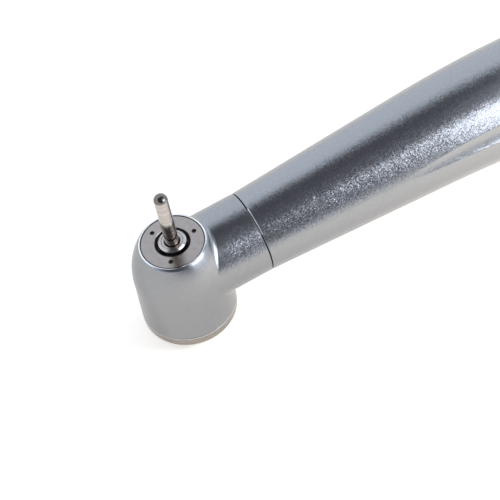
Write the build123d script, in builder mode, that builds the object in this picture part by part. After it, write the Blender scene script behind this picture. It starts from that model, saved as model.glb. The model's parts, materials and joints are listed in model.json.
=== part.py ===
"""High speed dental handpiece: air turbine head, bent handle and four-tube rear connector.

Millimetres. The handpiece lies as it does on a bench: the back cap's front edge and the rear
collar touch Z = 0, the handle runs along +X and the bur points up and slightly forwards.
The origin is under the middle of the whole handpiece.
"""

from build123d import *
from math import cos, radians, sin
import os

os.makedirs("parts", exist_ok=True)

# ---- driving dimensions ---------------------------------------------------------------------
# Pose of the head. Heights in the head are measured along the bur axis, upwards from its foot.
resting_tilt = 9.67              # how far the bur axis leans forwards, degrees
head_foot = (-57.40, 0, 1.533)   # foot of the bur axis, at the back cap's lower edge

# Head
cap_radius = 5.66                # widest radius of the head, at the back cap
cap_seam = 0.99                  # height of the joint between back cap and head
cap_rounding = 0.70              # rounded lower edge of the cap
head_radius = 5.50               # radius where the crown's curve begins
crown_start = 7.20
rim_radius = 4.10                # radius and height where the crown rounds over to the top
rim_height = 12.12
top_radius = 3.82                # flat top of the head
head_height = 12.38
chamber_radius = 4.30            # turbine chamber
chamber_floor = 5.70
chamber_roof = 9.20
carrier_radius = 4.45            # rear bearing carrier
carrier_foot = 3.05
skirt_radius = 4.75              # threaded skirt of the back cap
skirt_bore = 4.30
plate_radius = 3.655             # face plate around the bur
plate_foot = 11.80
plate_hole = 2.035
spray_pitch_radius = 2.755
spray_hole = 0.28
spray_count = 3
spray_depth = 0.34
spray_feed_height = 12.16        # radial feeds inside the plate
spray_feed_radius = 0.10
spray_feed_length = 1.2
plate_channel_radius = 3.30      # water channel under the plate's rim
plate_channel_roof = 12.10
plate_bevel = 0.06
cap_opening = 3.85               # hole for the push button
cap_edge_gap = 0.04              # gap between the back cap and the head
cap_edge_bevel = 0.08
seat_land_bore = 2.85            # inward land under the front bearing

# Push button and its retainer, heights up the bur axis
button_radius = 3.75
button_face = -0.45
button_edge = 0.20
dish_radius = 2.40               # shallow dish under the fingertip
dish_edge = 3.00
dish_depth = 0.12
flange_foot = 0.02
flange_top = 0.35
button_flange_radius = 4.20
boss_radius = 1.00
boss_top = 1.94
retainer_hole = 1.15
retainer_foot = 1.60
retainer_top = 2.20
washer_bore = 2.75               # wave washer that preloads the bearings
washer_radius = 3.15
washer_foot = 11.69
washer_top = 11.79

# Neck and handle, measured along their centre line
neck_height = 6.887              # height at which the neck's centre line meets the bur axis
neck_rise = 2.0                  # rise of the neck above square to the bur, degrees
neck_radius = 4.964
crease_radius = 0.80              # soft inside corner where the neck meets the head
neck_length = 9.418              # from the bur axis to the joint with the handle
spigot_radius = 4.20
spigot_length = 7.60
spigot_groove_radius = 3.70      # seal groove round the spigot
spigot_groove_start = 13.0
spigot_groove_end = 13.9
seam_gap = 0.05
seam_chamfer = 0.08
spigot_socket = 10.2             # depth of the handle's bore for the spigot
bend_start = 23.7                # straight length of handle before the bend
bend_radius = 102.0
bend_angle = 24.0
wall = 0.95                      # handle wall
handle_end = 100.0
handle_outline = [               # distance from the neck joint, radius
    (0, neck_radius), (10, 5.50), (20, 6.036), (30, 6.553), (40, 7.01),
    (50, 7.33), (62, 7.52), (75, 7.50), (90, 7.30), (handle_end, 7.15)]

# Finger grooves on both sides of the handle
groove_start = 18.5
groove_length = 56.0
groove_depth = 0.35
groove_radius = 4.0
groove_height = 20.5             # degrees above the side of the handle

# Rear end, distances from the neck joint
seat_start = 90.0
plug_start = 91.0
collar_end = 102.5
flange_end = 104.0
thread_end = 111.0
stub_end = 114.5
collar_radius = 7.25
flange_radius = 6.90
thread_radius = 5.90
plug_radius = 6.10
collar_land = 7.15               # step beside the handle's end
collar_edge = 0.10
collar_step_foot = 0.45
collar_step_top = 0.60
collar_chamfer = 0.30
flange_chamfer = 0.20
thread_relief = 5.55             # runout groove between the flange and the thread
thread_relief_length = 0.80
thread_lead = 0.35
thread_chamfer = 0.40

# Air and water lines: outer radius, wall, place in the neck and place in the rear connector.
# Each place is (to the +Y side, up) from the centre line.
drive_air = dict(radius=1.30, wall=0.25, front=(-2.0, -0.4), rear=(0, -2.4))
water = dict(radius=0.60, wall=0.15, front=(-0.9, 2.6), rear=(-2.9, -0.3))
chip_air = dict(radius=0.60, wall=0.15, front=(0.9, 2.6), rear=(2.9, -0.3))
exhaust_front = (2.0, -0.4)
exhaust_rear = (0, 2.3)
exhaust_radius = 2.00
exhaust_bore = 1.60
exhaust_passage = 1.30
exhaust_start = 2.8              # where passages start, along the neck from the bur axis
line_start = 4.9                 # water and chip air
jet_start = 6.2                  # end of the drive air tube, where the jet begins
jet_end = 2.5
jet_place = (-2.4, -0.4)
jet_radius = 0.60
drilling_radius = 0.22           # rising drillings to the channel under the face plate
drilling_end = 3.5
tube_clearance = 0.02            # around the tubes in the rear connector
line_bend_radius = 60.0
support_disc_radius = 6.20
support_disc_place = -18.0       # from the handle's rear end
support_disc_thickness = 1.5
support_disc_exhaust = 2.2
front_bend_place = 31.7          # where the lines' bends are, along the handle
rear_bend_place = 57.7

# Rotor and bur
bur_radius = 0.80                # friction grip shank
bur_foot = 4.45
bur_tip = 20.69
bur_tip_rounding = 0.70
spindle_radius = 1.5875
spindle_foot = 2.62
spindle_top = 12.70
spindle_bore = 1.15
nose_radius = 1.69
nose_foot = 11.68
nose_shoulder = 12.28            # where the nose starts to round in
nose_shoulder_middle = (1.62, 12.54)
nose_top_radius = 1.45
nose_bore = 1.25
nose_step = 11.90
nose_bore_edge = 0.04
spindle_lip = 0.70               # inward lip that holds the chuck plunger in
spindle_lip_top = 2.92
collet_foot = 4.40
collet_bore = 0.83
collet_relief = 0.12
collet_mouth = 0.90
collet_flare_foot = 11.40
collet_flare_top = 11.60
collet_top = 12.64
collet_edge = 0.08
jaw_count = 3
jaw_slot_width = 0.20
jaw_slot_length = 5.0
bur_foot_chamfer = 0.15
plunger_foot = 2.20
plunger_stem = 0.65
plunger_disc = 1.08
plunger_disc_foot = 2.95
plunger_disc_top = 3.35
plunger_nose = 0.60
plunger_tip = 0.45
plunger_top = 3.90

# Turbine
blade_count = 9
blade_foot = 5.98
blade_height = 2.94
impeller_foot = 5.53
impeller_hub = 1.95
impeller_waist = 2.35
impeller_taper_foot = 5.95
impeller_waist_foot = 6.10
impeller_waist_top = 8.80
impeller_taper_top = 8.95

# Springs: foot, top, coil radius, wire radius, turns
button_coil = (0.37, 1.58, 3.0, 0.10, 2)
chuck_coil = (3.37, 4.38, 0.90, 0.07, 3)

# Ball bearings, inch size 1/8 x 1/4 x 3/32
bearing_middles = {"rear": 4.34, "front": 10.49}
bearing_width = 2.38
bearing_radius = 3.175
outer_land = 2.66
inner_land = 2.10
pitch_radius = 2.38
ball_radius = 0.50
ball_count = 7
raceway_radius = 0.53
bearing_seat = 3.22
seal_groove_radius = 3.835
seal_groove_width = 0.80
seal_squeeze = 0.005
cage_radius = 2.57
cage_bore = 2.19
cage_width = 1.50
cage_clearance = 0.01
shield_thickness = 0.10
shield_gap = 0.08
carrier_lip = 2.90               # inward lip under the rear bearing
carrier_lip_top = 3.15
carrier_groove_radius = 4.12
carrier_groove_foot = 4.98
carrier_groove_top = 5.44
carrier_ring = (4.285, 0.16)     # O-rings: ring radius, cord radius
neck_ring = (3.95, 0.25)
neck_ring_place = 13.45

# ---- workplanes -----------------------------------------------------------------------------
tilt = radians(resting_tilt)
head = Plane(origin=head_foot, x_dir=(cos(tilt), 0, sin(tilt)), z_dir=(-sin(tilt), 0, cos(tilt)))
head_section = Plane(origin=head_foot, x_dir=head.x_dir, z_dir=-head.y_dir)
bur_axis = Axis(head.origin, head.z_dir)


def cross_plane(origin, elevation):
    """Plane across the neck or handle: local X to the +Y side, local Y up, local Z rearwards."""
    slope = radians(elevation)
    return Plane(origin=origin, x_dir=(0, 1, 0), z_dir=(cos(slope), 0, sin(slope)))


neck_elevation = resting_tilt + neck_rise
neck = cross_plane(head.from_local_coords((0, 0, neck_height)), neck_elevation)
neck_section = Plane(origin=neck.origin, x_dir=neck.y_dir, z_dir=neck.x_dir)
neck_axis = Axis(neck.origin, neck.z_dir)
seam = neck.offset(neck_length)


def handle_station(distance):
    """Plane across the handle at a distance along its centre line from the neck joint."""
    if distance <= bend_start:
        return seam.offset(distance)
    turned_angle = min(bend_angle, (distance - bend_start) / radians(1) / bend_radius)
    before = radians(neck_elevation)
    after = radians(neck_elevation - turned_angle)
    along = bend_radius * (sin(before) - sin(after))
    up = bend_radius * (cos(after) - cos(before))
    start = seam.offset(bend_start).origin
    station = cross_plane(start + Vector(along, 0, up), neck_elevation - turned_angle)
    return station.offset(distance - bend_start - radians(turned_angle) * bend_radius)


tail = handle_station(handle_end)
tail_section = Plane(origin=tail.origin, x_dir=tail.y_dir, z_dir=tail.x_dir)
tail_axis = Axis(tail.origin, tail.z_dir)


def turned(outline, section=head_section, axis=bur_axis, mode=Mode.ADD):
    """Revolve a closed outline of (radius, height) points about an axis."""
    with BuildSketch(section) as profile:
        with BuildLine():
            Polyline(*outline, close=True)
        make_face()
    revolve(profile.sketch, axis=axis, mode=mode)


def turned_ring(inner, outer, low, high, section=head_section, axis=bur_axis, mode=Mode.ADD):
    """Revolve a plain rectangular section."""
    turned([(inner, low), (outer, low), (outer, high), (inner, high)], section, axis, mode)


def bore(plane, place, radius, depth):
    """Cut a round passage from a plane, along its normal."""
    with BuildSketch(plane) as mouth:
        with Locations(place):
            Circle(radius)
    extrude(mouth.sketch, amount=depth, mode=Mode.SUBTRACT)


# ---- head -----------------------------------------------------------------------------------
neck_end = neck_length + spigot_length
front_seat_foot = bearing_middles["front"] - bearing_width / 2

with BuildPart() as head_housing:
    with BuildSketch(head_section):
        with BuildLine():
            side = Line((cap_radius, cap_seam + cap_edge_bevel), (head_radius, crown_start))
            crown = TangentArc(side @ 1, (rim_radius, rim_height), tangent=side % 1)
            rim = TangentArc(crown @ 1, (top_radius, head_height), tangent=crown % 1)
            Polyline(rim @ 1, (0, head_height), (0, cap_seam),
                     (cap_radius - cap_edge_bevel, cap_seam), side @ 0)
        make_face()
    revolve(axis=bur_axis)
    with BuildSketch(neck):
        Circle(neck_radius)
    extrude(amount=neck_length)
    neck_shoulder = head_housing.edges().filter_by(GeomType.CIRCLE).sort_by(neck_axis)[-1]
    chamfer(neck_shoulder, seam_chamfer)
    crease = head_housing.edges().filter_by(GeomType.BSPLINE)
    fillet(crease, crease_radius)
    with BuildSketch(seam):
        Circle(spigot_radius)
    extrude(amount=spigot_length)
    # Rear opening, bearing carrier seat, turbine chamber, front bearing seat and plate seat
    turned_ring(0, skirt_radius, 0, carrier_foot, mode=Mode.SUBTRACT)
    turned_ring(0, carrier_radius, carrier_foot, chamber_floor, mode=Mode.SUBTRACT)
    turned_ring(0, chamber_radius, chamber_floor, chamber_roof, mode=Mode.SUBTRACT)
    turned_ring(0, seat_land_bore, chamber_roof, front_seat_foot, mode=Mode.SUBTRACT)
    turned_ring(0, bearing_seat, front_seat_foot, plate_foot, mode=Mode.SUBTRACT)
    turned_ring(0, plate_radius, plate_foot, head_height + 1, mode=Mode.SUBTRACT)
    front_middle = bearing_middles["front"]
    turned_ring(0, seal_groove_radius, front_middle - seal_groove_width / 2,
                front_middle + seal_groove_width / 2, mode=Mode.SUBTRACT)
    # Seal groove round the spigot
    turned_ring(spigot_groove_radius, spigot_radius + 1, spigot_groove_start, spigot_groove_end,
                neck_section, neck_axis, Mode.SUBTRACT)
    # Passages along the neck
    neck_face = neck.offset(neck_end)
    bore(neck_face, drive_air["front"], drive_air["radius"], jet_start - neck_end)
    bore(neck_face, water["front"], water["radius"], line_start - neck_end)
    bore(neck_face, chip_air["front"], chip_air["radius"], line_start - neck_end)
    bore(neck_face, exhaust_front, exhaust_passage, exhaust_start - neck_end)
    bore(neck.offset(jet_end), jet_place, jet_radius, jet_start - jet_end)
    # Rising drillings from the water and chip air lines to the channel under the face plate
    for line in (water, chip_air):
        low = neck.from_local_coords((*line["front"], line_start))
        high = head.from_local_coords((drilling_end, line["front"][0] / 2, plate_foot))
        rise = high - low
        bore(Plane(origin=low, z_dir=rise), (0, 0), drilling_radius, rise.length)

head_housing.part.label = "head_housing"
export_step(head_housing.part, "parts/head_housing.step")

with BuildPart() as face_plate:
    turned([(plate_hole, plate_foot), (plate_channel_radius, plate_foot),
            (plate_channel_radius, plate_channel_roof), (plate_radius, plate_channel_roof),
            (plate_radius, head_height - plate_bevel), (plate_radius - plate_bevel, head_height),
            (plate_hole + plate_bevel, head_height), (plate_hole, head_height - plate_bevel)])
    with BuildSketch(head.offset(head_height)):
        with PolarLocations(spray_pitch_radius, spray_count):
            Circle(spray_hole)
    extrude(amount=-spray_depth, mode=Mode.SUBTRACT)
    # Radial feeds from the channel under the plate's rim to the spray holes
    for turn in range(spray_count):
        feed = head.offset(spray_feed_height).rotated((0, 0, turn * 360 / spray_count))
        feed_foot = feed.from_local_coords((spray_pitch_radius, 0, 0))
        bore(Plane(feed_foot, z_dir=feed.x_dir), (0, 0), spray_feed_radius, spray_feed_length)

face_plate.part.label = "face_plate"
export_step(face_plate.part, "parts/face_plate.step")

with BuildPart() as preload_washer:
    turned_ring(washer_bore, washer_radius, washer_foot, washer_top)

preload_washer.part.label = "preload_washer"
export_step(preload_washer.part, "parts/preload_washer.step")

# ---- back cap and push button -----------------------------------------------------------------
cap_top = cap_seam - cap_edge_gap

with BuildPart() as back_cap:
    with BuildSketch(head_section):
        with BuildLine():
            foot = Line((cap_opening, -cap_rounding), (cap_radius - cap_rounding, -cap_rounding))
            rounding = TangentArc(foot @ 1, (cap_radius, 0), tangent=(1, 0))
            Polyline(rounding @ 1, (cap_radius, cap_top - cap_edge_bevel),
                     (cap_radius - cap_edge_bevel, cap_top), (skirt_radius, cap_top),
                     (skirt_radius, carrier_foot), (skirt_bore, carrier_foot), (skirt_bore, 0),
                     (cap_opening, 0), foot @ 0)
        make_face()
    revolve(axis=bur_axis)

back_cap.part.label = "back_cap"
export_step(back_cap.part, "parts/back_cap.step")

with BuildPart() as push_button:
    turned([(0, button_face + dish_depth), (dish_radius, button_face + dish_depth / 6),
            (dish_edge, button_face), (button_radius - button_edge, button_face),
            (button_radius, button_face + button_edge), (button_radius, flange_foot),
            (button_flange_radius, flange_foot), (button_flange_radius, flange_top),
            (boss_radius, flange_top), (boss_radius, boss_top), (0, boss_top)])

push_button.part.label = "push_button"
export_step(push_button.part, "parts/push_button.step")

with BuildPart() as cap_retainer_disc:
    turned_ring(retainer_hole, skirt_bore, retainer_foot, retainer_top)

cap_retainer_disc.part.label = "cap_retainer_disc"
export_step(cap_retainer_disc.part, "parts/cap_retainer_disc.step")


def coil_spring(foot, top, radius, wire_radius, turns):
    """Sweep a round wire up a helix about the bur axis, between two flat levels."""
    rise = top - foot - 2 * wire_radius
    base = head.offset(foot + wire_radius)
    with BuildLine():
        coil = Helix(rise / turns, rise, radius, center=base.origin, direction=base.z_dir)
    with BuildSketch(Plane(origin=coil @ 0, z_dir=coil % 0)) as wire:
        Circle(wire_radius)
    sweep(wire.sketch, path=coil, is_frenet=True)


with BuildPart() as button_spring:
    coil_spring(*button_coil)

button_spring.part.label = "button_spring"
export_step(button_spring.part, "parts/button_spring.step")

# ---- bearings ---------------------------------------------------------------------------------
with BuildPart() as rear_bearing_carrier:
    turned_ring(bearing_seat, carrier_radius, carrier_foot, chamber_floor)
    turned_ring(carrier_lip, bearing_seat, carrier_foot, carrier_lip_top)
    rear_middle = bearing_middles["rear"]
    turned_ring(carrier_lip, seal_groove_radius, rear_middle - seal_groove_width / 2,
                rear_middle + seal_groove_width / 2, mode=Mode.SUBTRACT)
    turned_ring(carrier_groove_radius, chamber_radius + 1, carrier_groove_foot, carrier_groove_top,
                mode=Mode.SUBTRACT)

rear_bearing_carrier.part.label = "rear_bearing_carrier"
export_step(rear_bearing_carrier.part, "parts/rear_bearing_carrier.step")

with BuildPart(head.offset((carrier_groove_foot + carrier_groove_top) / 2)) as carrier_o_ring:
    Torus(*carrier_ring)

carrier_o_ring.part.label = "carrier_o_ring"
export_step(carrier_o_ring.part, "parts/carrier_o_ring.step")

for place, middle in bearing_middles.items():
    bearing_plane = head.offset(middle)

    with BuildPart(bearing_plane) as outer_race:
        Cylinder(bearing_radius, bearing_width)
        Cylinder(outer_land, bearing_width, mode=Mode.SUBTRACT)
        Torus(pitch_radius, raceway_radius, mode=Mode.SUBTRACT)

    outer_race.part.label = f"{place}_outer_race"
    export_step(outer_race.part, f"parts/{place}_outer_race.step")

    with BuildPart(bearing_plane) as inner_race:
        Cylinder(inner_land, bearing_width)
        Cylinder(spindle_radius, bearing_width, mode=Mode.SUBTRACT)
        Torus(pitch_radius, raceway_radius, mode=Mode.SUBTRACT)

    inner_race.part.label = f"{place}_inner_race"
    export_step(inner_race.part, f"parts/{place}_inner_race.step")

    with BuildPart(bearing_plane) as balls:
        with PolarLocations(pitch_radius, ball_count):
            Sphere(ball_radius)

    balls.part.label = f"{place}_bearing_balls"
    export_step(balls.part, f"parts/{place}_bearing_balls.step")

    with BuildPart(bearing_plane) as cage:
        Cylinder(cage_radius, cage_width)
        Cylinder(cage_bore, cage_width, mode=Mode.SUBTRACT)
        with PolarLocations(pitch_radius, ball_count):
            Cylinder(ball_radius + cage_clearance, 1, rotation=(0, 90, 0), mode=Mode.SUBTRACT)

    cage.part.label = f"{place}_bearing_cage"
    export_step(cage.part, f"parts/{place}_bearing_cage.step")

    shield_side = (bearing_width - shield_thickness) / 2
    shield_height = middle + shield_side if place == "front" else middle - shield_side
    with BuildPart(head.offset(shield_height)) as shield:
        Cylinder(outer_land, shield_thickness)
        Cylinder(inner_land + shield_gap, shield_thickness, mode=Mode.SUBTRACT)

    shield.part.label = f"{place}_bearing_shield"
    export_step(shield.part, f"parts/{place}_bearing_shield.step")

    ring_cord = (seal_groove_radius - bearing_radius) / 2 - seal_squeeze
    with BuildPart(bearing_plane) as bearing_o_ring:
        Torus((bearing_radius + seal_groove_radius) / 2, ring_cord)

    bearing_o_ring.part.label = f"{place}_bearing_o_ring"
    export_step(bearing_o_ring.part, f"parts/{place}_bearing_o_ring.step")

# ---- rotor ------------------------------------------------------------------------------------
with BuildPart() as rotor_spindle:
    turned([(spindle_lip, spindle_foot), (spindle_radius, spindle_foot),
            (spindle_radius, nose_foot), (nose_radius, nose_foot),
            (nose_radius, nose_shoulder), nose_shoulder_middle, (nose_top_radius, spindle_top),
            (nose_bore + nose_bore_edge, spindle_top), (nose_bore, spindle_top - nose_bore_edge),
            (nose_bore, nose_step), (spindle_bore, nose_step), (spindle_bore, spindle_lip_top),
            (spindle_lip, spindle_lip_top)])

rotor_spindle.part.label = "rotor_spindle"
export_step(rotor_spindle.part, "parts/rotor_spindle.step")

with BuildSketch() as blade:
    with BuildLine():
        pressure_face = ThreePointArc((1.95, -0.60), (3.15, 0.22), (4.06, -0.20))
        tip = Line(pressure_face @ 1, (4.08, 0.12))
        back = ThreePointArc(tip @ 1, (3.10, 0.58), (1.95, -0.10))
        Line(back @ 1, pressure_face @ 0)
    make_face()

with BuildPart() as turbine_impeller:
    turned([(spindle_radius, impeller_foot), (impeller_hub, impeller_foot),
            (impeller_hub, impeller_taper_foot), (impeller_waist, impeller_waist_foot),
            (impeller_waist, impeller_waist_top), (impeller_hub, impeller_taper_top),
            (impeller_hub, front_seat_foot), (spindle_radius, front_seat_foot)])
    with BuildSketch(head.offset(blade_foot)):
        with PolarLocations(0, blade_count):
            add(blade.sketch)
    extrude(amount=blade_height)

turbine_impeller.part.label = "turbine_impeller"
export_step(turbine_impeller.part, "parts/turbine_impeller.step")

with BuildPart() as chuck_collet:
    turned([(collet_bore + collet_relief, collet_foot), (spindle_bore, collet_foot),
            (spindle_bore, nose_step), (nose_bore, nose_step),
            (nose_bore, collet_top - nose_bore_edge), (nose_bore - nose_bore_edge, collet_top),
            (collet_mouth + collet_edge, collet_top), (collet_mouth, collet_top - collet_edge),
            (collet_mouth, collet_flare_top), (collet_bore, collet_flare_foot),
            (collet_bore, collet_foot + collet_relief)])
    with BuildSketch(head.offset(collet_foot)):
        with PolarLocations((collet_bore + spindle_bore) / 2, jaw_count):
            Rectangle(1.2, jaw_slot_width)
    extrude(amount=jaw_slot_length, mode=Mode.SUBTRACT)

chuck_collet.part.label = "chuck_collet"
export_step(chuck_collet.part, "parts/chuck_collet.step")

with BuildPart() as chuck_plunger:
    turned([(0, plunger_foot), (plunger_stem - 0.05, plunger_foot),
            (plunger_stem, plunger_foot + 0.05), (plunger_stem, plunger_disc_foot),
            (plunger_disc, plunger_disc_foot), (plunger_disc, plunger_disc_top),
            (plunger_nose, plunger_disc_top), (plunger_tip, plunger_top), (0, plunger_top)])

chuck_plunger.part.label = "chuck_plunger"
export_step(chuck_plunger.part, "parts/chuck_plunger.step")

with BuildPart() as chuck_spring:
    coil_spring(*chuck_coil)

chuck_spring.part.label = "chuck_spring"
export_step(chuck_spring.part, "parts/chuck_spring.step")

with BuildPart() as bur_blank:
    turned([(0, bur_foot), (bur_radius, bur_foot), (bur_radius, bur_tip), (0, bur_tip)])
    foot_edge, tip_edge = bur_blank.edges().filter_by(GeomType.CIRCLE).sort_by(bur_axis)
    chamfer(foot_edge, bur_foot_chamfer)
    fillet(tip_edge, bur_tip_rounding)

bur_blank.part.label = "bur_blank"
export_step(bur_blank.part, "parts/bur_blank.step")

# ---- handle -----------------------------------------------------------------------------------
with BuildPart() as handle_shell:
    for distance, radius in handle_outline:
        with BuildSketch(handle_station(max(distance, seam_gap))):
            Circle(radius)
    loft()
    front_edge = handle_shell.edges().sort_by(neck_axis)[0]
    chamfer(front_edge, seam_chamfer)
    with BuildSketch(seam):
        Circle(spigot_radius)
    extrude(amount=spigot_socket, mode=Mode.SUBTRACT)
    for distance, radius in handle_outline[1:-1]:
        with BuildSketch(handle_station(distance)):
            Circle(radius - wall)
    loft(mode=Mode.SUBTRACT)
    with BuildSketch(tail.offset(seat_start - handle_end)):
        Circle(plug_radius)
    extrude(amount=handle_end - seat_start, mode=Mode.SUBTRACT)
    # Finger grooves
    for side_angle in (groove_height, 180 - groove_height):
        outward = radians(side_angle)
        path_points = []
        for distance, radius in handle_outline[1:-1]:
            part_way = (distance - groove_start) / groove_length
            depth = 4 * groove_depth * part_way * (1 - part_way)
            reach = radius + groove_radius - depth
            centre = (reach * cos(outward), reach * sin(outward), 0)
            path_points.append(handle_station(distance).from_local_coords(centre))
        with BuildLine() as groove_path:
            Spline(*path_points)
        with BuildSketch(Plane(origin=path_points[0], z_dir=groove_path.line % 0)) as groove_cutter:
            Circle(groove_radius)
        sweep(groove_cutter.sketch, path=groove_path.line, mode=Mode.SUBTRACT)

handle_shell.part.label = "handle_shell"
export_step(handle_shell.part, "parts/handle_shell.step")

with BuildPart(neck.offset(neck_ring_place)) as neck_o_ring:
    Torus(*neck_ring)

neck_o_ring.part.label = "neck_o_ring"
export_step(neck_o_ring.part, "parts/neck_o_ring.step")

# ---- air and water lines ------------------------------------------------------------------------
front_bend = handle_station(front_bend_place)
rear_bend = handle_station(rear_bend_place)


def line_route(line, front_plane):
    """Corner points of a line: along the neck, across the bend and along the tail."""
    to_bend = neck.to_local_coords(front_bend.origin).Z
    back_to_bend = tail.to_local_coords(rear_bend.origin).Z
    return [front_plane.from_local_coords((*line["front"], 0)),
            neck.from_local_coords((*line["front"], to_bend)),
            tail.from_local_coords((*line["rear"], back_to_bend)),
            tail.from_local_coords((*line["rear"], stub_end - handle_end))]


def line_tube(line, front_plane):
    """Thin tube along a line's route."""
    with BuildLine() as route:
        FilletPolyline(*line_route(line, front_plane), radius=line_bend_radius)
    with BuildSketch(front_plane) as section:
        with Locations(line["front"]):
            Circle(line["radius"])
            Circle(line["radius"] - line["wall"], mode=Mode.SUBTRACT)
    sweep(section.sketch, path=route.line)


with BuildPart() as drive_air_tube:
    line_tube(drive_air, neck.offset(jet_start))

drive_air_tube.part.label = "drive_air_tube"
export_step(drive_air_tube.part, "parts/drive_air_tube.step")

with BuildPart() as water_tube:
    line_tube(water, neck.offset(line_start))

water_tube.part.label = "water_tube"
export_step(water_tube.part, "parts/water_tube.step")

with BuildPart() as chip_air_tube:
    line_tube(chip_air, neck.offset(line_start))

chip_air_tube.part.label = "chip_air_tube"
export_step(chip_air_tube.part, "parts/chip_air_tube.step")

with BuildPart() as tube_support_disc:
    with BuildSketch(tail.offset(support_disc_place)):
        Circle(support_disc_radius)
        for line in (drive_air, water, chip_air):
            with Locations(line["rear"]):
                Circle(line["radius"], mode=Mode.SUBTRACT)
        with Locations(exhaust_rear):
            Circle(support_disc_exhaust, mode=Mode.SUBTRACT)
    extrude(amount=support_disc_thickness)

tube_support_disc.part.label = "tube_support_disc"
export_step(tube_support_disc.part, "parts/tube_support_disc.step")

# ---- rear end -----------------------------------------------------------------------------------
collar_depth = collar_end - handle_end
flange_depth = flange_end - handle_end
relief_depth = flange_depth + thread_relief_length
thread_depth = thread_end - handle_end
plug_depth = plug_start - handle_end

with BuildPart() as rear_collar:
    turned([(plug_radius, seam_gap), (collar_land - collar_edge, seam_gap),
            (collar_land, seam_gap + collar_edge), (collar_land, collar_step_foot),
            (collar_radius, collar_step_top), (collar_radius, collar_depth - collar_chamfer),
            (collar_radius - collar_chamfer, collar_depth), (plug_radius, collar_depth)],
           tail_section, tail_axis)

rear_collar.part.label = "rear_collar"
export_step(rear_collar.part, "parts/rear_collar.step")

with BuildPart() as rear_connector:
    turned([(0, plug_depth), (plug_radius, plug_depth), (plug_radius, collar_depth),
            (flange_radius, collar_depth), (flange_radius, flange_depth - flange_chamfer),
            (flange_radius - flange_chamfer, flange_depth), (thread_relief, flange_depth),
            (thread_relief, relief_depth), (thread_radius, relief_depth + thread_lead),
            (thread_radius, thread_depth - thread_chamfer),
            (thread_radius - thread_chamfer, thread_depth), (0, thread_depth)],
           tail_section, tail_axis)
    for line in (drive_air, water, chip_air):
        bore(tail.offset(plug_depth), line["rear"], line["radius"] + tube_clearance,
             thread_depth - plug_depth)
    bore(tail.offset(plug_depth), exhaust_rear, exhaust_bore, thread_depth - plug_depth)
    bore(tail.offset(flange_depth), exhaust_rear, exhaust_radius, thread_depth - flange_depth)

rear_connector.part.label = "rear_connector"
export_step(rear_connector.part, "parts/rear_connector.step")

with BuildPart() as exhaust_stub:
    with BuildSketch(tail.offset(flange_depth)):
        with Locations(exhaust_rear):
            Circle(exhaust_radius)
            Circle(exhaust_bore, mode=Mode.SUBTRACT)
    extrude(amount=stub_end - flange_end)

exhaust_stub.part.label = "exhaust_stub"
export_step(exhaust_stub.part, "parts/exhaust_stub.step")
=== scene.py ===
"""Looks of the high speed dental handpiece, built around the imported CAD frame.

Blender works in metres. Places and outlines are written in millimetres in the head frame, and are
turned into metres by at_head and mesh_piece, or by MM.
"""

import json
import math

import bpy
import numpy as np
from mathutils import Matrix, Vector


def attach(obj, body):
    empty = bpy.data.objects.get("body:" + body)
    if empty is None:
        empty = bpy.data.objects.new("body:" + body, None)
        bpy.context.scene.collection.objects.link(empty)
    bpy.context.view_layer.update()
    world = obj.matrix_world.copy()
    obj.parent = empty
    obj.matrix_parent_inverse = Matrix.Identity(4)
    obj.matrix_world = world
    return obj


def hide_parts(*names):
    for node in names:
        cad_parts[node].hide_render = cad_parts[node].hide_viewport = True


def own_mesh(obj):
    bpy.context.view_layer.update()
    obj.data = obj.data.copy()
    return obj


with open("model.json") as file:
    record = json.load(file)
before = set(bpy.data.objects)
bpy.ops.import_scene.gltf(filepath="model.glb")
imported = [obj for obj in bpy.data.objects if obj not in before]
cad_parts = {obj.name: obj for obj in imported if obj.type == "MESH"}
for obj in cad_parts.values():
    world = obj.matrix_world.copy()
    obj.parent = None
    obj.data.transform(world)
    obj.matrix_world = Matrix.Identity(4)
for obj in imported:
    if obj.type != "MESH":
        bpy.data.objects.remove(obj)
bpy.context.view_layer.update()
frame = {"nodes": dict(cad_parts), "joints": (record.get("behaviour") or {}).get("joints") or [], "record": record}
nodes = frame["nodes"]
joints = {joint["name"]: joint for joint in frame["joints"]}
MM = 0.001

# ---- head frame: origin at the foot of the bur axis, Z up the bur, X towards the handle --------
ROTOR_HEIGHT = 7.5 * MM           # height of the rotor joint's anchor up the bur axis
bur_dir = Vector(joints["rotor_spin"]["axis"]).normalized()
side_dir = Vector((0, 1, 0))
head_x = side_dir.cross(bur_dir)
head_foot = Vector(joints["rotor_spin"]["pos_m"]) - ROTOR_HEIGHT * bur_dir
HEAD = Matrix((head_x, side_dir, bur_dir)).transposed().to_4x4()
HEAD.translation = head_foot


def at_head(x, y, z):
    """A place given in the head frame, in millimetres."""
    return HEAD @ (Vector((x, y, z)) * MM)


# ---- camera -------------------------------------------------------------------------------------
CAMERA_PLACE = (-26.52, -105.62, 152.17)
CAMERA_AIM = (9.06, 0.93, 2.82)
CAMERA_UP = (0.4497, 0.6730, 0.5873)
LENS = 113.83
SENSOR_WIDTH = 36
CLIP_START, CLIP_END = 0.01, 20   # metres


def make_camera():
    """The camera, placed in the head frame."""
    data = bpy.data.cameras.new("camera")
    data.lens = LENS
    data.sensor_width = SENSOR_WIDTH
    data.clip_start = CLIP_START
    data.clip_end = CLIP_END
    camera = bpy.data.objects.new("camera", data)
    bpy.context.scene.collection.objects.link(camera)
    place = at_head(*CAMERA_PLACE)
    back = (place - at_head(*CAMERA_AIM)).normalized()
    up = HEAD.to_3x3() @ Vector(CAMERA_UP)
    right = up.cross(back).normalized()
    turn = Matrix((right, back.cross(right), back)).transposed().to_4x4()
    turn.translation = place
    camera.matrix_world = turn
    bpy.context.scene.camera = camera


make_camera()


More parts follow.
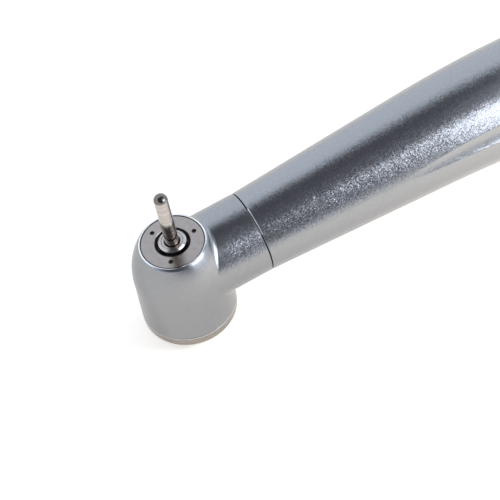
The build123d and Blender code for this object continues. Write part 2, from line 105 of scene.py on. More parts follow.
# ---- handle centre line and outline, as in the CAD source ---------------------------------------
NECK_HEIGHT = 6.887               # where the neck's line meets the bur axis
NECK_RISE = math.radians(2.0)
NECK_LENGTH = 9.418
NECK_RADIUS = 4.964
BEND_START = 23.7                 # distances along the handle start at the neck's end
BEND_RADIUS = 102.0
BEND_ANGLE = math.radians(24.0)
HANDLE_END = 100.0
HANDLE_OUTLINE = [(0, NECK_RADIUS), (10, 5.50), (20, 6.036), (30, 6.553), (40, 7.01),
                  (50, 7.33), (62, 7.52), (75, 7.50), (90, 7.30), (HANDLE_END, 7.15)]


def centre_line(distance):
    """Place in the head frame's XZ plane, and slope, at distances along the handle."""
    distance = np.asarray(distance, float)
    turned = np.clip((distance - BEND_START) / BEND_RADIUS, 0, BEND_ANGLE)
    slope = NECK_RISE - turned
    straight = np.minimum(distance, BEND_START)
    after = np.maximum(distance - BEND_START - BEND_ANGLE * BEND_RADIUS, 0)
    x = (NECK_LENGTH + straight) * math.cos(NECK_RISE)
    z = NECK_HEIGHT + (NECK_LENGTH + straight) * math.sin(NECK_RISE)
    x = x + BEND_RADIUS * (math.sin(NECK_RISE) - np.sin(slope)) + after * np.cos(slope)
    z = z + BEND_RADIUS * (np.cos(slope) - math.cos(NECK_RISE)) + after * np.sin(slope)
    return x, z, slope


def line_frame(distance):
    """Centre, and unit vectors rearwards and up, at a distance along the handle."""
    x, z, slope = (float(value) for value in centre_line(distance))
    rear = Vector((math.cos(slope), 0, math.sin(slope)))
    up = Vector((-math.sin(slope), 0, math.cos(slope)))
    return Vector((x, 0, z)), rear, up


def natural_spline(knots, values, at):
    """Smooth curve through a few points: a natural cubic spline."""
    knots = np.asarray(knots, float)
    values = np.asarray(values, float)
    gaps = np.diff(knots)
    size = len(knots)
    matrix = np.eye(size)
    right_side = np.zeros(size)
    for i in range(1, size - 1):
        matrix[i, i - 1:i + 2] = gaps[i - 1], 2 * (gaps[i - 1] + gaps[i]), gaps[i]
        slopes = (values[i + 1] - values[i]) / gaps[i] - (values[i] - values[i - 1]) / gaps[i - 1]
        right_side[i] = 6 * slopes
    bend = np.linalg.solve(matrix, right_side)
    at = np.asarray(at, float)
    k = np.clip(np.searchsorted(knots, at) - 1, 0, size - 2)
    h, a, b = gaps[k], knots[k + 1] - at, at - knots[k]
    return (bend[k] * a ** 3 + bend[k + 1] * b ** 3) / (6 * h) \
        + (values[k] / h - bend[k] * h / 6) * a + (values[k + 1] / h - bend[k + 1] * h / 6) * b


def handle_radius(distance):
    """Outer radius of the handle, in millimetres."""
    return natural_spline(*zip(*HANDLE_OUTLINE), distance)


# ---- meshes -------------------------------------------------------------------------------------
def mesh_piece(name, points, faces, body, material, sharp_angle=30):
    """A mesh piece from head-frame millimetres, smooth but for its sharp edges."""
    mesh = bpy.data.meshes.new(name)
    placed = np.asarray(points, float) * MM @ np.array(HEAD.to_3x3()).T + np.array(HEAD.translation)
    mesh.from_pydata(placed.tolist(), [], [list(map(int, face)) for face in faces])
    mesh.validate()
    mesh.update()
    mesh.shade_smooth()
    mesh.set_sharp_from_angle(angle=math.radians(sharp_angle))
    piece = bpy.data.objects.new(name, mesh)
    bpy.context.scene.collection.objects.link(piece)
    mesh.materials.append(material)
    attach(piece, body)
    return piece


def grid_faces(rows, columns):
    """Quads of a grid of points stored row by row, closed round its columns."""
    faces = []
    for row in range(rows - 1):
        for column in range(columns):
            beside = (column + 1) % columns
            faces.append([row * columns + column, row * columns + beside,
                          (row + 1) * columns + beside, (row + 1) * columns + column])
    return faces


def ring_faces(segments, count):
    """Quads of a closed outline of count points that is turned once round in segments steps."""
    faces = []
    for step in range(segments):
        beside = (step + 1) % segments
        for k in range(count):
            following = (k + 1) % count
            faces.append([step * count + k, beside * count + k, beside * count + following,
                          step * count + following])
    return faces


# ---- handle -------------------------------------------------------------------------------------
GROOVE_START = 18.5
GROOVE_LENGTH = 56.0
GROOVE_END = GROOVE_START + GROOVE_LENGTH
GROOVE_DEPTH = 0.35               # at its middle
GROOVE_RADIUS = 4.0
GROOVE_ANGLE = math.radians(20.5)             # above the handle's side
GROOVE_REACH = 1.0                # how far round a groove is looked for, radians
EDGE_BLEND = 0.012                # rounding of the groove's edges
BLEND_MARGIN = 0.3                # how far outside the groove the rounding is worked out
SEAM = 0.085                      # gap in front of the handle
EDGE_ROUNDING = 0.09              # rounding of the handle's front edge
EDGE_STEPS = np.radians([0, 22.5, 45, 67.5, 90])
PAINTED_GLINT_STRETCH = (math.radians(44), math.radians(84))      # stretch of that edge given a painted glint
BORE_OUTLINE = [(HANDLE_END, 6.10), (90, 6.10), (90, 6.35), (75, 6.55), (62, 6.57), (50, 6.38),
                (40, 6.06), (30, 5.60), (20, 5.086), (10.2, 4.55), (10.2, 4.20), (SEAM, 4.20)]

# Mesh rows before, along and after the grooves, and mesh columns over, between and below them
ROWS = [(0.3, GROOVE_START - 0.6, 60), (GROOVE_START - 0.3, GROOVE_END + 0.3, 300),
        (GROOVE_END + 0.8, HANDLE_END, 70)]
EDGE_COLUMNS = np.array([0.30, 0.12, 0.04, 0])        # distances outside a groove's edge
GROOVE_COLUMNS = np.linspace(-1, 1, 31)       # shares of a groove's half angle
LEAST_HALF_ANGLE = math.radians(0.8)          # of a groove's columns where there is no groove
UPPER_COLUMNS = 62
LOWER_COLUMNS = 90


def groove_half_angle(radius, reach):
    """Half the angle that a groove covers, seen from the centre line; 0 where it misses."""
    cosine = (radius ** 2 + reach ** 2 - GROOVE_RADIUS ** 2) / (2 * radius * reach)
    return np.arccos(np.clip(cosine, -1, 1))


def row_angles(half_angle, radius):
    """Angles round one mesh row: close together over the grooves and their edges."""
    beyond = half_angle + EDGE_COLUMNS / radius
    over_groove = np.concatenate([-beyond, GROOVE_COLUMNS[1:-1] * half_angle, beyond[::-1]])
    right = GROOVE_ANGLE + over_groove
    left = math.pi - GROOVE_ANGLE + over_groove
    upper = np.linspace(right[-1], left[0], UPPER_COLUMNS)[1:-1]
    lower = np.linspace(left[-1], right[0] + 2 * math.pi, LOWER_COLUMNS)[1:-1]
    return np.concatenate([right, upper, left, lower])


def grooved(surface, angles, reach):
    """Radii round one mesh row with both grooves cut in, their edges blended."""
    for middle in (GROOVE_ANGLE, math.pi - GROOVE_ANGLE):
        away = np.angle(np.exp(1j * (angles - middle)))
        across = reach * np.sin(away)
        hit = (np.abs(across) < GROOVE_RADIUS) & (np.abs(away) < GROOVE_REACH)
        cut = reach * np.cos(away) - np.sqrt(np.maximum(GROOVE_RADIUS ** 2 - across ** 2, 0))
        gap = surface - cut
        soft = surface - (gap + np.sqrt(gap ** 2 + EDGE_BLEND ** 2)) / 2
        surface = np.where(hit & (gap > -BLEND_MARGIN), soft, surface)
    return surface


def row_points(place, radius, angles):
    """Points of one mesh row round a place and slope of the centre line."""
    x, z, slope = place
    up = radius * np.sin(angles)
    return np.stack([x - up * np.sin(slope), -radius * np.cos(angles), z + up * np.cos(slope)], 1)


def handle_shell():
    """Handle with its two finger grooves: outside, rear end, bore and front face."""
    front_edge = SEAM + EDGE_ROUNDING * (1 - np.cos(EDGE_STEPS))
    stations = np.concatenate([front_edge] + [np.linspace(*span) for span in ROWS])
    radius = handle_radius(stations)
    radius[:len(EDGE_STEPS)] -= EDGE_ROUNDING * (1 - np.sin(EDGE_STEPS))
    part_way = (stations - GROOVE_START) / GROOVE_LENGTH
    depth = 4 * GROOVE_DEPTH * part_way * (1 - part_way)
    reach = radius + GROOVE_RADIUS - depth
    half_angle = np.where(depth > 0, groove_half_angle(radius, reach), 0)
    half_angle = np.maximum(half_angle, LEAST_HALF_ANGLE)
    points = []
    for row, place in enumerate(zip(*centre_line(stations))):
        angles = row_angles(half_angle[row], radius[row])
        surface = np.full(len(angles), radius[row])
        if depth[row] > 0:
            surface = grooved(surface, angles, reach[row])
        points.append(row_points(place, surface, angles))

    # Rear end, bore and front face close the shell
    front_angles = row_angles(half_angle[0], radius[0])
    for distance, bore in BORE_OUTLINE:
        points.append(row_points(centre_line(distance), bore, front_angles))
    count, columns = len(points), len(front_angles)
    faces = grid_faces(count, columns)
    faces += [[(count - 1) * columns + a, (count - 1) * columns + b, b, a]
              for a, b in zip(range(columns), [*range(1, columns), 0])]
    piece = mesh_piece("handle_skin", np.concatenate(points), faces, "handpiece",
                       materials["satin"])
    piece.data.materials.append(materials["edge"])
    piece.data.materials.append(materials["painted_glint"])
    # A stretch of the front edge gets near-white metal: a painted glint.
    for index in range((len(EDGE_STEPS) - 1) * columns):
        painted_glint = PAINTED_GLINT_STRETCH[0] < front_angles[index % columns] < PAINTED_GLINT_STRETCH[1]
        piece.data.polygons[index].material_index = 2 if painted_glint else 1
    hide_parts("handle_shell")


# ---- shader helpers -----------------------------------------------------------------------------
NOISE_RANGE = (0.3, 0.7)          # the part of a noise's range that is used
HALF = (0.5, 0.5, 0.5)            # middle of a random colour
GRAIN_CELL = 0.0001               # metres
FLECK_CELL = 0.000095
RARE_FLECKS = (0.62, 0.90)        # random values from which a cell becomes a fleck, and a full one


def new_material(name):
    """A material with one Principled shader, its node tree and that shader."""
    material = bpy.data.materials.new(name)
    material.use_nodes = True
    tree = material.node_tree
    tree.nodes.clear()
    output = tree.nodes.new("ShaderNodeOutputMaterial")
    shader = tree.nodes.new("ShaderNodeBsdfPrincipled")
    tree.links.new(shader.outputs["BSDF"], output.inputs["Surface"])
    return material, tree, shader


def node(tree, kind, inputs=None, **settings):
    """A shader node with its settings, and its inputs linked or set."""
    made = tree.nodes.new("ShaderNode" + kind)
    for key, value in settings.items():
        setattr(made, key, value)
    for key, value in (inputs or {}).items():
        if isinstance(value, bpy.types.NodeSocket):
            tree.links.new(value, made.inputs[key])
        else:
            made.inputs[key].default_value = value
    return made


def calc(tree, operation, *values):
    """Result of a maths node."""
    return node(tree, "Math", dict(enumerate(values)), operation=operation).outputs[0]


def vector(tree, operation, *values, **named):
    """Result of a vector maths node: a number for DOT_PRODUCT and LENGTH, else a vector."""
    made = node(tree, "VectorMath", {**dict(enumerate(values)), **named}, operation=operation)
    return made.outputs["Value" if operation in ("DOT_PRODUCT", "LENGTH") else "Vector"]


def remap(tree, value, start, end, low, high, **settings):
    """A number carried over from the range start to end to the range low to high."""
    return node(tree, "MapRange", {"Value": value, "From Min": start, "From Max": end,
                                   "To Min": low, "To Max": high}, **settings).outputs[0]


def color_mix(tree, factor, first, second):
    """A colour between two colours."""
    blend = node(tree, "Mix", {"Factor": factor}, data_type="RGBA")
    blend.inputs["A"].default_value = (*first, 1)
    blend.inputs["B"].default_value = (*second, 1)
    return blend.outputs["Result"]


def shaded(color, factor):
    """The colour made lighter or darker."""
    return tuple(channel * factor for channel in color)


def surface_place(tree):
    """Position on the piece, in metres."""
    return node(tree, "TexCoord").outputs["Object"]


def bur_place(tree):
    """Distance from the bur axis, and height along it, in metres."""
    from_foot = vector(tree, "SUBTRACT", surface_place(tree), tuple(head_foot))
    along = vector(tree, "DOT_PRODUCT", from_foot, tuple(bur_dir))
    on_axis = vector(tree, "SCALE", tuple(bur_dir), Scale=along)
    radius = vector(tree, "LENGTH", vector(tree, "SUBTRACT", from_foot, on_axis))
    return radius, along


def random_cells(tree, cell):
    """A random colour for each small cell, and a random tilt from it."""
    color = node(tree, "TexVoronoi", {"Vector": surface_place(tree), "Scale": 1 / cell,
                                      "Randomness": 1.0}).outputs["Color"]
    return color, vector(tree, "SUBTRACT", color, HALF)


def grain_normal(tree, cell, strength, flecks=0.0, fade=None):
    """A normal tilted at random from one small grain to the next, with rarer steeper flecks.

    fade is a range of distances from the bur axis, and the share of the tilt at its start.
    """
    tilt = vector(tree, "SCALE", random_cells(tree, cell)[1], Scale=strength)
    if flecks:
        color, steep = random_cells(tree, FLECK_CELL)
        pick = node(tree, "SeparateColor", {0: color}).outputs["Blue"]
        rare = remap(tree, pick, *RARE_FLECKS, 0.0, flecks)
        tilt = vector(tree, "ADD", tilt, vector(tree, "SCALE", steep, Scale=rare))
    if fade:
        tilt = vector(tree, "SCALE", tilt, Scale=remap(tree, bur_place(tree)[0], *fade, 1.0))
    normal = node(tree, "NewGeometry").outputs["Normal"]
    return vector(tree, "NORMALIZE", vector(tree, "ADD", normal, tilt))


def noise_ramp(tree, scale, low, high):
    """A number that wanders between low and high over the surface."""
    noise = node(tree, "TexNoise", {"Vector": surface_place(tree), "Scale": scale, "Detail": 4})
    return remap(tree, noise.outputs["Fac"], *NOISE_RANGE, low, high)


def tinted(tree, shader, color, tones, scale):
    """Base colour that wanders gently between two close tones of a colour."""
    first, second = (shaded(color, tone) for tone in tones)
    tree.links.new(color_mix(tree, noise_ramp(tree, scale, 0.0, 1.0), first, second),
                   shader.inputs["Base Color"])


def new_metal(name, color, rough, tones=(0.95, 1.05), tone_scale=1400, finish=(0.85, 1.15),
              finish_scale=1500):
    """Metal whose colour and roughness wander a little over the surface."""
    material, tree, shader = new_material(name)
    shader.inputs["Metallic"].default_value = 1.0
    tinted(tree, shader, color, tones, tone_scale)
    low, high = (rough * share for share in finish)
    tree.links.new(noise_ramp(tree, finish_scale, low, high), shader.inputs["Roughness"])
    return material, tree, shader


def window(tree, value, start, end, soft):
    """1 between start and end, 0 outside."""
    rise = remap(tree, value, start - soft, start + soft, 0.0, 1.0)
    fall = remap(tree, value, end - soft, end + soft, 1.0, 0.0)
    return calc(tree, "MULTIPLY", rise, fall)


# ---- materials ----------------------------------------------------------------------------------
SATIN = (0.297, 0.298, 0.304)
SATIN_EDGE_TINT = (0.88, 0.875, 0.88, 1)      # at grazing angles
SATIN_CELL = 0.000085             # size of a blasted facet, metres
SATIN_TILT = 0.115                # how far a facet leans, as a share of its normal
FACE_FADE = (5.4 * MM, 6.4 * MM, 0.25)        # the head's skirt is smoother than its neck

BUR_RINGS = 0.00030               # spacing of the bur's rings in relief, metres
BUR_RING_DEPTH = 0.0000030
BUR_TONES = 0.00045               # spacing of the rings in its colour
BUR_TONE_RANGE = (0.35, 0.65, 0.86, 1.05)
BUR_DOME = 20.02 * MM             # where its rounded tip starts
BUR_DOME_SOFT = 0.1 * MM
BUR_DOME_SHADE = 0.38
BUR_FOOT = (14.6 * MM, 15.6 * MM)             # where the painted highlight on its foot fades out
BUR_FOOT_HIGHLIGHT = 1.25

HOSE_THREAD = (105.1, 110.5)      # along the handle, millimetres
THREAD_PITCH = 0.80
THREAD_DEPTH = 0.45
COLLAR_KNURL = (100.75, 102.05)
KNURL_TEETH = 60
KNURL_DEPTH = 0.06
RELIEF_SOFT = 0.05                # run-out of thread and knurl

PIT_SCALE = 9000.0                # pits of a moulded surface, per metre
PIT_DEPTH = 0.00001


def satin_chrome(name, color, rough, flecks, fade=None):
    """Bead blasted chrome: fine facets that catch the light one by one."""
    material, tree, shader = new_metal(name, color, rough, tones=(0.97, 1.03), tone_scale=2600,
                                       finish=(0.95, 1.05), finish_scale=900)
    shader.inputs["Specular Tint"].default_value = SATIN_EDGE_TINT
    tree.links.new(grain_normal(tree, SATIN_CELL, SATIN_TILT, flecks, fade),
                   shader.inputs["Normal"])
    return material


def turned_height(tree, pitch):
    """Rings round the bur axis and along it, left by the lathe tool."""
    line = calc(tree, "ADD", *bur_place(tree))
    return node(tree, "TexNoise", {"W": line, "Scale": 1 / pitch, "Detail": 3.0, "Roughness": 0.7},
                noise_dimensions="1D").outputs["Fac"]


def turned_metal(name, color, rough, pitch, depth, grain=0.0):
    """Turned or ground metal with fine rings round the bur axis."""
    material, tree, shader = new_metal(name, color, rough, tones=(0.94, 1.06), tone_scale=1800)
    rings = node(tree, "Bump", {"Height": turned_height(tree, pitch), "Distance": depth,
                                "Strength": 1.0})
    if grain:
        tree.links.new(grain_normal(tree, GRAIN_CELL, grain), rings.inputs["Normal"])
    tree.links.new(rings.outputs["Normal"], shader.inputs["Normal"])
    return material


def ground_bur(name, color, rough):
    """Ground shank with faint rings, a painted highlight brightening its foot, and darker over its rounded tip."""
    material = turned_metal(name, color, rough, BUR_RINGS, BUR_RING_DEPTH)
    tree = material.node_tree
    shader = next(made for made in tree.nodes if made.type == "BSDF_PRINCIPLED")
    rings = remap(tree, turned_height(tree, BUR_TONES), *BUR_TONE_RANGE)
    dome = remap(tree, bur_place(tree)[1], BUR_DOME, BUR_DOME + BUR_DOME_SOFT, 1.0, BUR_DOME_SHADE)
    # Painted highlight: the colour made brighter towards the foot.
    foot = remap(tree, bur_place(tree)[1], *BUR_FOOT, BUR_FOOT_HIGHLIGHT, 1.0)
    factor = calc(tree, "MULTIPLY", rings, calc(tree, "MULTIPLY", foot, dome))
    tree.links.new(vector(tree, "SCALE", color, Scale=factor), shader.inputs["Base Color"])
    return material


def connector_metal(name, color, rough, threaded):
    """Polished chrome with the hose thread, or with the collar's straight knurl."""
    material, tree, shader = new_metal(name, color, rough)
    middle, rear, up = line_frame(HANDLE_END)
    offset = vector(tree, "SUBTRACT", surface_place(tree), tuple(at_head(*middle)))
    along, upward, aside = [vector(tree, "DOT_PRODUCT", offset, tuple(HEAD.to_3x3() @ axis))
                            for axis in (rear, up, side_dir)]
    angle = calc(tree, "ARCTAN2", aside, upward)
    if threaded:
        lead = calc(tree, "MULTIPLY", angle, THREAD_PITCH * MM / (2 * math.pi))
        wave = calc(tree, "PINGPONG", calc(tree, "ADD", along, lead), THREAD_PITCH * MM / 2)
        height = calc(tree, "MULTIPLY", wave, 2 * THREAD_DEPTH / THREAD_PITCH)
        start, end = HOSE_THREAD
    else:
        ripple = calc(tree, "SINE", calc(tree, "MULTIPLY", angle, KNURL_TEETH))
        height = calc(tree, "MULTIPLY", ripple, KNURL_DEPTH * MM / 2)
        start, end = COLLAR_KNURL
    inside = window(tree, along, (start - HANDLE_END) * MM, (end - HANDLE_END) * MM,
                    RELIEF_SOFT * MM)
    relief = calc(tree, "MULTIPLY", height, inside)
    bump = node(tree, "Bump", {"Height": relief, "Distance": 1.0, "Strength": 1.0})
    tree.links.new(bump.outputs["Normal"], shader.inputs["Normal"])
    return material


def plain_metal(name, color, rough, grain=0.0):
    """Polished, drawn or ground metal."""
    material, tree, shader = new_metal(name, color, rough)
    if grain:
        tree.links.new(grain_normal(tree, GRAIN_CELL, grain), shader.inputs["Normal"])
    return material


def moulded(name, color, rough, shine=0.5):
    """Rubber, resin or plastic with a fine moulded texture."""
    material, tree, shader = new_material(name)
    shader.inputs["Specular IOR Level"].default_value = shine
    tinted(tree, shader, color, tones=(0.9, 1.1), scale=2200)
    tree.links.new(noise_ramp(tree, 2500, rough * 0.85, rough), shader.inputs["Roughness"])
    pits = node(tree, "TexNoise", {"Vector": surface_place(tree), "Scale": PIT_SCALE,
                                   "Detail": 2.0})
    bump = node(tree, "Bump", {"Height": pits.outputs["Fac"], "Distance": PIT_DEPTH,
                               "Strength": 0.6})
    tree.links.new(bump.outputs["Normal"], shader.inputs["Normal"])
    return material


materials = {
    "satin": satin_chrome("satin_chrome", shaded(SATIN, 1.05), rough=0.245, flecks=0.14),
    "satin_head": satin_chrome("satin_chrome_head", SATIN, rough=0.25, flecks=0.17,
                               fade=FACE_FADE),
    "edge": plain_metal("handle_edge", (0.30, 0.305, 0.315), rough=0.24),
    # Near-white metal on a stretch of the handle's front edge: a painted glint.
    "painted_glint": plain_metal("painted_glint_edge", (0.97, 0.97, 0.98), rough=0.42),
    "lip": plain_metal("polished_lip", (0.78, 0.77, 0.76), rough=0.12),
    "plate": turned_metal("plate_steel", (0.352, 0.310, 0.284), rough=0.22, pitch=0.00012,
                          depth=0.0000016),
    "cap": turned_metal("cap_steel", (0.315, 0.285, 0.262), rough=0.26, pitch=0.00015,
                        depth=0.0000012, grain=0.03),
    "steel": plain_metal("machined_steel", (0.42, 0.395, 0.37), rough=0.26, grain=0.04),
    "rotor": turned_metal("rotor_steel", (0.46, 0.42, 0.40), rough=0.17, pitch=0.00016,
                          depth=0.0000020),
    "bur": ground_bur("bur_steel", (0.50, 0.455, 0.42), rough=0.11),
    "collet": turned_metal("collet_steel", (0.44, 0.40, 0.38), rough=0.20, pitch=0.00016,
                           depth=0.0000020),
    "aluminium": plain_metal("milled_aluminium", (0.55, 0.56, 0.58), rough=0.24, grain=0.05),
    "connector": connector_metal("connector_chrome", (0.32, 0.325, 0.335), rough=0.17,
                                 threaded=True),
    "collar": connector_metal("collar_chrome", (0.36, 0.365, 0.375), rough=0.15, threaded=False),
    "balls": plain_metal("bearing_balls", (0.55, 0.555, 0.57), rough=0.05),
    # Near-black metal for the discs in the spray holes: painted shade of the holes.
    "nozzle": plain_metal("spray_hole_painted_shade", (0.05, 0.045, 0.04), rough=0.35),
    # Also used for the black rings in the plate joint, the nose gap and the neck seam, which are painted shade.
    "rubber": moulded("black_rubber", (0.012, 0.0105, 0.010), rough=0.75, shine=0.12),
    "resin": moulded("cage_resin", (0.30, 0.18, 0.09), rough=0.5),
    "plastic": moulded("support_plastic", (0.82, 0.81, 0.78), rough=0.5),
}
SLOT_MATERIALS = {
    "body_satin_chrome": "satin_head", "plate_steel": "plate", "cap_steel": "cap",
    "button_steel": "plate", "spring_steel": "steel", "carrier_steel": "steel",
    "rotor_steel": "rotor", "collet_steel": "collet", "impeller_aluminium": "aluminium",
    "bur_steel": "bur", "bearing_steel": "steel", "ball_steel": "balls", "cage_resin": "resin",
    "black_rubber": "rubber", "tube_steel": "steel", "support_plastic": "plastic",
    "collar_chrome": "collar", "connector_chrome": "connector"}
node_slots = {row["node"]: row["material_slot"] for row in frame["record"]["subparts"]}
for name, piece in nodes.items():
    piece.data.materials.clear()
    piece.data.materials.append(materials[SLOT_MATERIALS[node_slots[name]]])


# ---- fittings and springs -----------------------------------------------------------------------
# Outlines about the bur axis: radius and height
PLATE_LIP = [(3.71, 12.33), (3.86, 12.33), (3.885, 12.358), (3.86, 12.382), (3.79, 12.394),
             (3.73, 12.392), (3.71, 12.382)]
# Black ring in the joint between face plate and rim: painted shade of that gap.
PLATE_SEAM_SHADE = [(3.62, 12.33), (3.72, 12.33), (3.72, 12.385), (3.70, 12.39), (3.64, 12.39),
              (3.62, 12.385)]
CAP_LIP = [(5.60, 0.90), (5.667, 0.90), (5.667, 0.97), (5.60, 0.97)]
# Black ring down in the gap round the bur's nose: painted shade that keeps the gap dark.
NOSE_GAP_SHADE = [(1.76, 11.95), (2.03, 11.95), (2.03, 12.20), (1.97, 12.26), (1.86, 12.26),
             (1.76, 12.16)]
# Dark discs sunk in the spray holes: painted shade of the holes.
SPRAY_HOLE_SHADE = [(0.001, 12.10), (0.276, 12.10), (0.276, 12.22), (0.20, 12.17), (0.09, 12.15),
                (0.001, 12.16)]
SPRAY_PITCH = 2.755               # distance of the spray nozzles from the bur axis
# Outlines round the handle's centre line: distance along it and radius
COLLAR_SEAL = [(100.02, 7.00), (100.22, 7.00), (100.22, 7.08), (100.02, 7.08)]
# Black ring inside the seam between neck and handle: painted shade that keeps the seam dark.
NECK_SEAM_SHADE = [(0.01, 4.30), (0.075, 4.30), (0.075, 4.80), (0.01, 4.80)]

SPRAY_SEGMENTS = 32
ROUND_SEGMENTS = 128
FINE_SEGMENTS = 160
REAR_SEGMENTS = 144
COIL_STEPS = 64                   # per turn of a spring
WIRE_STEPS = 14                   # round its wire


def turned_piece(name, outline, material, segments=ROUND_SEGMENTS, centre=(0, 0),
                 sharp_angle=30):
    """A turned piece about the bur axis, or about a parallel axis through centre."""
    points = []
    for step in range(segments):
        angle = 2 * math.pi * step / segments
        for radius, height in outline:
            points.append((centre[0] + radius * math.cos(angle),
                           centre[1] + radius * math.sin(angle), height))
    faces = ring_faces(segments, len(outline))
    piece = mesh_piece(name, points, faces, "handpiece", material, sharp_angle)


def turned_rear(name, outline, material, about):
    """A turned piece round the handle's centre line, as it runs at one distance along it."""
    middle, rear, up = line_frame(about)
    points = []
    for step in range(REAR_SEGMENTS):
        angle = 2 * math.pi * step / REAR_SEGMENTS
        for distance, radius in outline:
            points.append(tuple(middle + (distance - about) * rear + radius * math.cos(angle) * up
                                + radius * math.sin(angle) * side_dir))
    faces = [quad[::-1] for quad in ring_faces(REAR_SEGMENTS, len(outline))]
    piece = mesh_piece(name, points, faces, "handpiece", material)


def coil_piece(node_name, body, foot, top, radius, wire, turns):
    """A coil spring between foot and top, in place of its CAD node. Wire is the radius of its wire."""
    steps = COIL_STEPS * turns
    points = []
    for step in range(steps + 1):
        part_way = step / steps
        angle = 2 * math.pi * turns * part_way
        middle = Vector((radius * math.cos(angle), radius * math.sin(angle),
                         foot + wire + (top - foot - 2 * wire) * part_way))
        outward = Vector((math.cos(angle), math.sin(angle), 0))
        for k in range(WIRE_STEPS):
            turn = 2 * math.pi * k / WIRE_STEPS
            points.append(tuple(middle + wire * (math.cos(turn) * outward
                                                 + math.sin(turn) * Vector((0, 0, 1)))))
    faces = grid_faces(steps + 1, WIRE_STEPS)
    faces += [list(range(WIRE_STEPS)),
              list(range(steps * WIRE_STEPS, (steps + 1) * WIRE_STEPS))[::-1]]
    piece = mesh_piece(node_name + "_coil", points, faces, body, materials["steel"], 60)
    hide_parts(node_name)
    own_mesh(piece)


coil_piece("button_spring", "handpiece", foot=0.37, top=1.58, radius=3.0,
           wire=0.10, turns=2)
coil_piece("chuck_spring", "rotor", foot=3.37, top=4.38, radius=0.90,
           wire=0.07, turns=3)
turned_rear("collar_seal", COLLAR_SEAL, materials["rubber"], about=HANDLE_END)
# Black ring in the neck seam: painted shade.
turned_rear("neck_seam_shade", NECK_SEAM_SHADE, materials["rubber"], about=0.0)
turned_piece("plate_lip", PLATE_LIP, materials["lip"], FINE_SEGMENTS,
             sharp_angle=70)
turned_piece("cap_lip", CAP_LIP, materials["lip"], FINE_SEGMENTS)
# Black ring in the plate's joint: painted shade.
turned_piece("plate_seam_shade", PLATE_SEAM_SHADE, materials["rubber"], FINE_SEGMENTS)
# Black ring in the nose gap: painted shade.
turned_piece("nose_gap_shade", NOSE_GAP_SHADE, materials["rubber"])
# Dark discs in the spray holes: painted shade.
for number in range(3):
    around = 2 * math.pi * number / 3
    turned_piece(f"spray_hole_shade_{number + 1}", SPRAY_HOLE_SHADE, materials["nozzle"],
                 SPRAY_SEGMENTS, (SPRAY_PITCH * math.cos(around), SPRAY_PITCH * math.sin(around)))
handle_shell()


# ---- stage --------------------------------------------------------------------------------------
FLOOR_HALF = 1.5                  # metres
FLOOR_COLOR = (0.88, 0.84, 0.79, 1)
FLOOR_GLOW = (1.0, 0.975, 0.925, 1)
FLOOR_GLOW_STRENGTH = 0.58
FLOOR_ROUGHNESS = 0.9
BACKDROP = (1.16, 1.29, 1.46)
DARK_COLOR = (0.13, 0.135, 0.165)
DARK_AXIS = (0.0, -0.5, 0.866)    # middle of the dark part of the studio
DARK_EDGE = 0.520                 # cosine of its half angle
DARK_BLUR = 0.16
GLOW_AXIS = (0.55, -0.35, 0.76)   # soft brightening beside the soft box
GLOW_START = 0.78                 # cosine of its half angle
GLOW_STRENGTH = 0.55
GLOW_COLOR = (0.90, 0.96, 1.06)
LIGHTS_AIM = (20, 0, 6)           # in the head frame


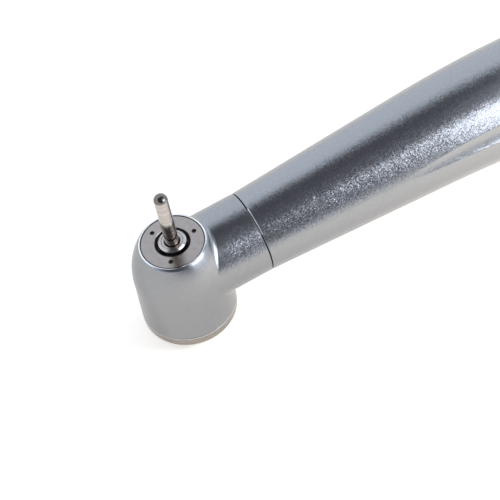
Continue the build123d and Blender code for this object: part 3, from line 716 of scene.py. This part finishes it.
def make_floor():
    """A pale floor, lit evenly enough to stay free of hard shadows, and clear from below."""
    mesh = bpy.data.meshes.new("floor")
    corners = [(-1, -1), (1, -1), (1, 1), (-1, 1)]
    mesh.from_pydata([(x * FLOOR_HALF, y * FLOOR_HALF, 0) for x, y in corners], [], [(0, 1, 2, 3)])
    floor = bpy.data.objects.new("floor", mesh)
    bpy.context.scene.collection.objects.link(floor)
    material, tree, shader = new_material("floor_white")
    shader.inputs["Base Color"].default_value = FLOOR_COLOR
    shader.inputs["Emission Color"].default_value = FLOOR_GLOW
    shader.inputs["Emission Strength"].default_value = FLOOR_GLOW_STRENGTH
    shader.inputs["Roughness"].default_value = FLOOR_ROUGHNESS
    clear = node(tree, "BsdfTransparent")
    side = node(tree, "NewGeometry").outputs["Backfacing"]
    one_sided = node(tree, "MixShader", {0: side, 1: shader.outputs["BSDF"],
                                         2: clear.outputs["BSDF"]})
    output = next(made for made in tree.nodes if made.type == "OUTPUT_MATERIAL")
    tree.links.new(one_sided.outputs[0], output.inputs["Surface"])
    mesh.materials.append(material)


def make_world():
    """Pale backdrop behind and around, with a dark ceiling over the camera's side."""
    world = bpy.data.worlds.new("studio")
    world.use_nodes = True
    tree = world.node_tree
    background = tree.nodes["Background"]
    direction = node(tree, "TexCoord").outputs["Generated"]
    toward_dark = vector(tree, "DOT_PRODUCT", direction, DARK_AXIS)
    darkness = remap(tree, toward_dark, DARK_EDGE - DARK_BLUR, DARK_EDGE + DARK_BLUR, 0.0, 1.0,
                     interpolation_type="SMOOTHSTEP")
    studio = color_mix(tree, darkness, BACKDROP, DARK_COLOR)
    toward_glow = vector(tree, "DOT_PRODUCT", direction, GLOW_AXIS)
    glow = remap(tree, toward_glow, GLOW_START, 1.0, 0.0, GLOW_STRENGTH)
    glow_color = vector(tree, "SCALE", GLOW_COLOR, Scale=glow)
    tree.links.new(vector(tree, "ADD", studio, glow_color), background.inputs["Color"])
    background.inputs["Strength"].default_value = 1.0
    bpy.context.scene.world = world


def area_light(name, direction, distance, sizes, power, color, wash=False):
    """A soft box seen only in the metal, or if wash a small lamp without a reflection."""
    data = bpy.data.lights.new(name, "AREA")
    data.shape = "RECTANGLE"
    data.size, data.size_y = sizes
    data.energy = power
    data.color = color
    light = bpy.data.objects.new(name, data)
    bpy.context.scene.collection.objects.link(light)
    away = Vector(direction).normalized()
    light.location = at_head(*LIGHTS_AIM) + away * distance
    light.rotation_mode = "QUATERNION"
    light.rotation_quaternion = away.to_track_quat("Z", "Y")
    light.visible_camera = False
    light.visible_diffuse = wash
    light.visible_glossy = not wash


make_floor()
make_world()
area_light("soft_box", (0.50, -0.67, 0.51), distance=0.6, sizes=(0.46, 0.50), power=3.2,
           color=(0.88, 0.95, 1.06))
area_light("wash", (0.75, -0.45, 0.48), distance=0.11, sizes=(0.04, 0.04), power=0.085,
           color=(1.0, 0.98, 0.95), wash=True)
bpy.context.scene.view_settings.view_transform = "Standard"
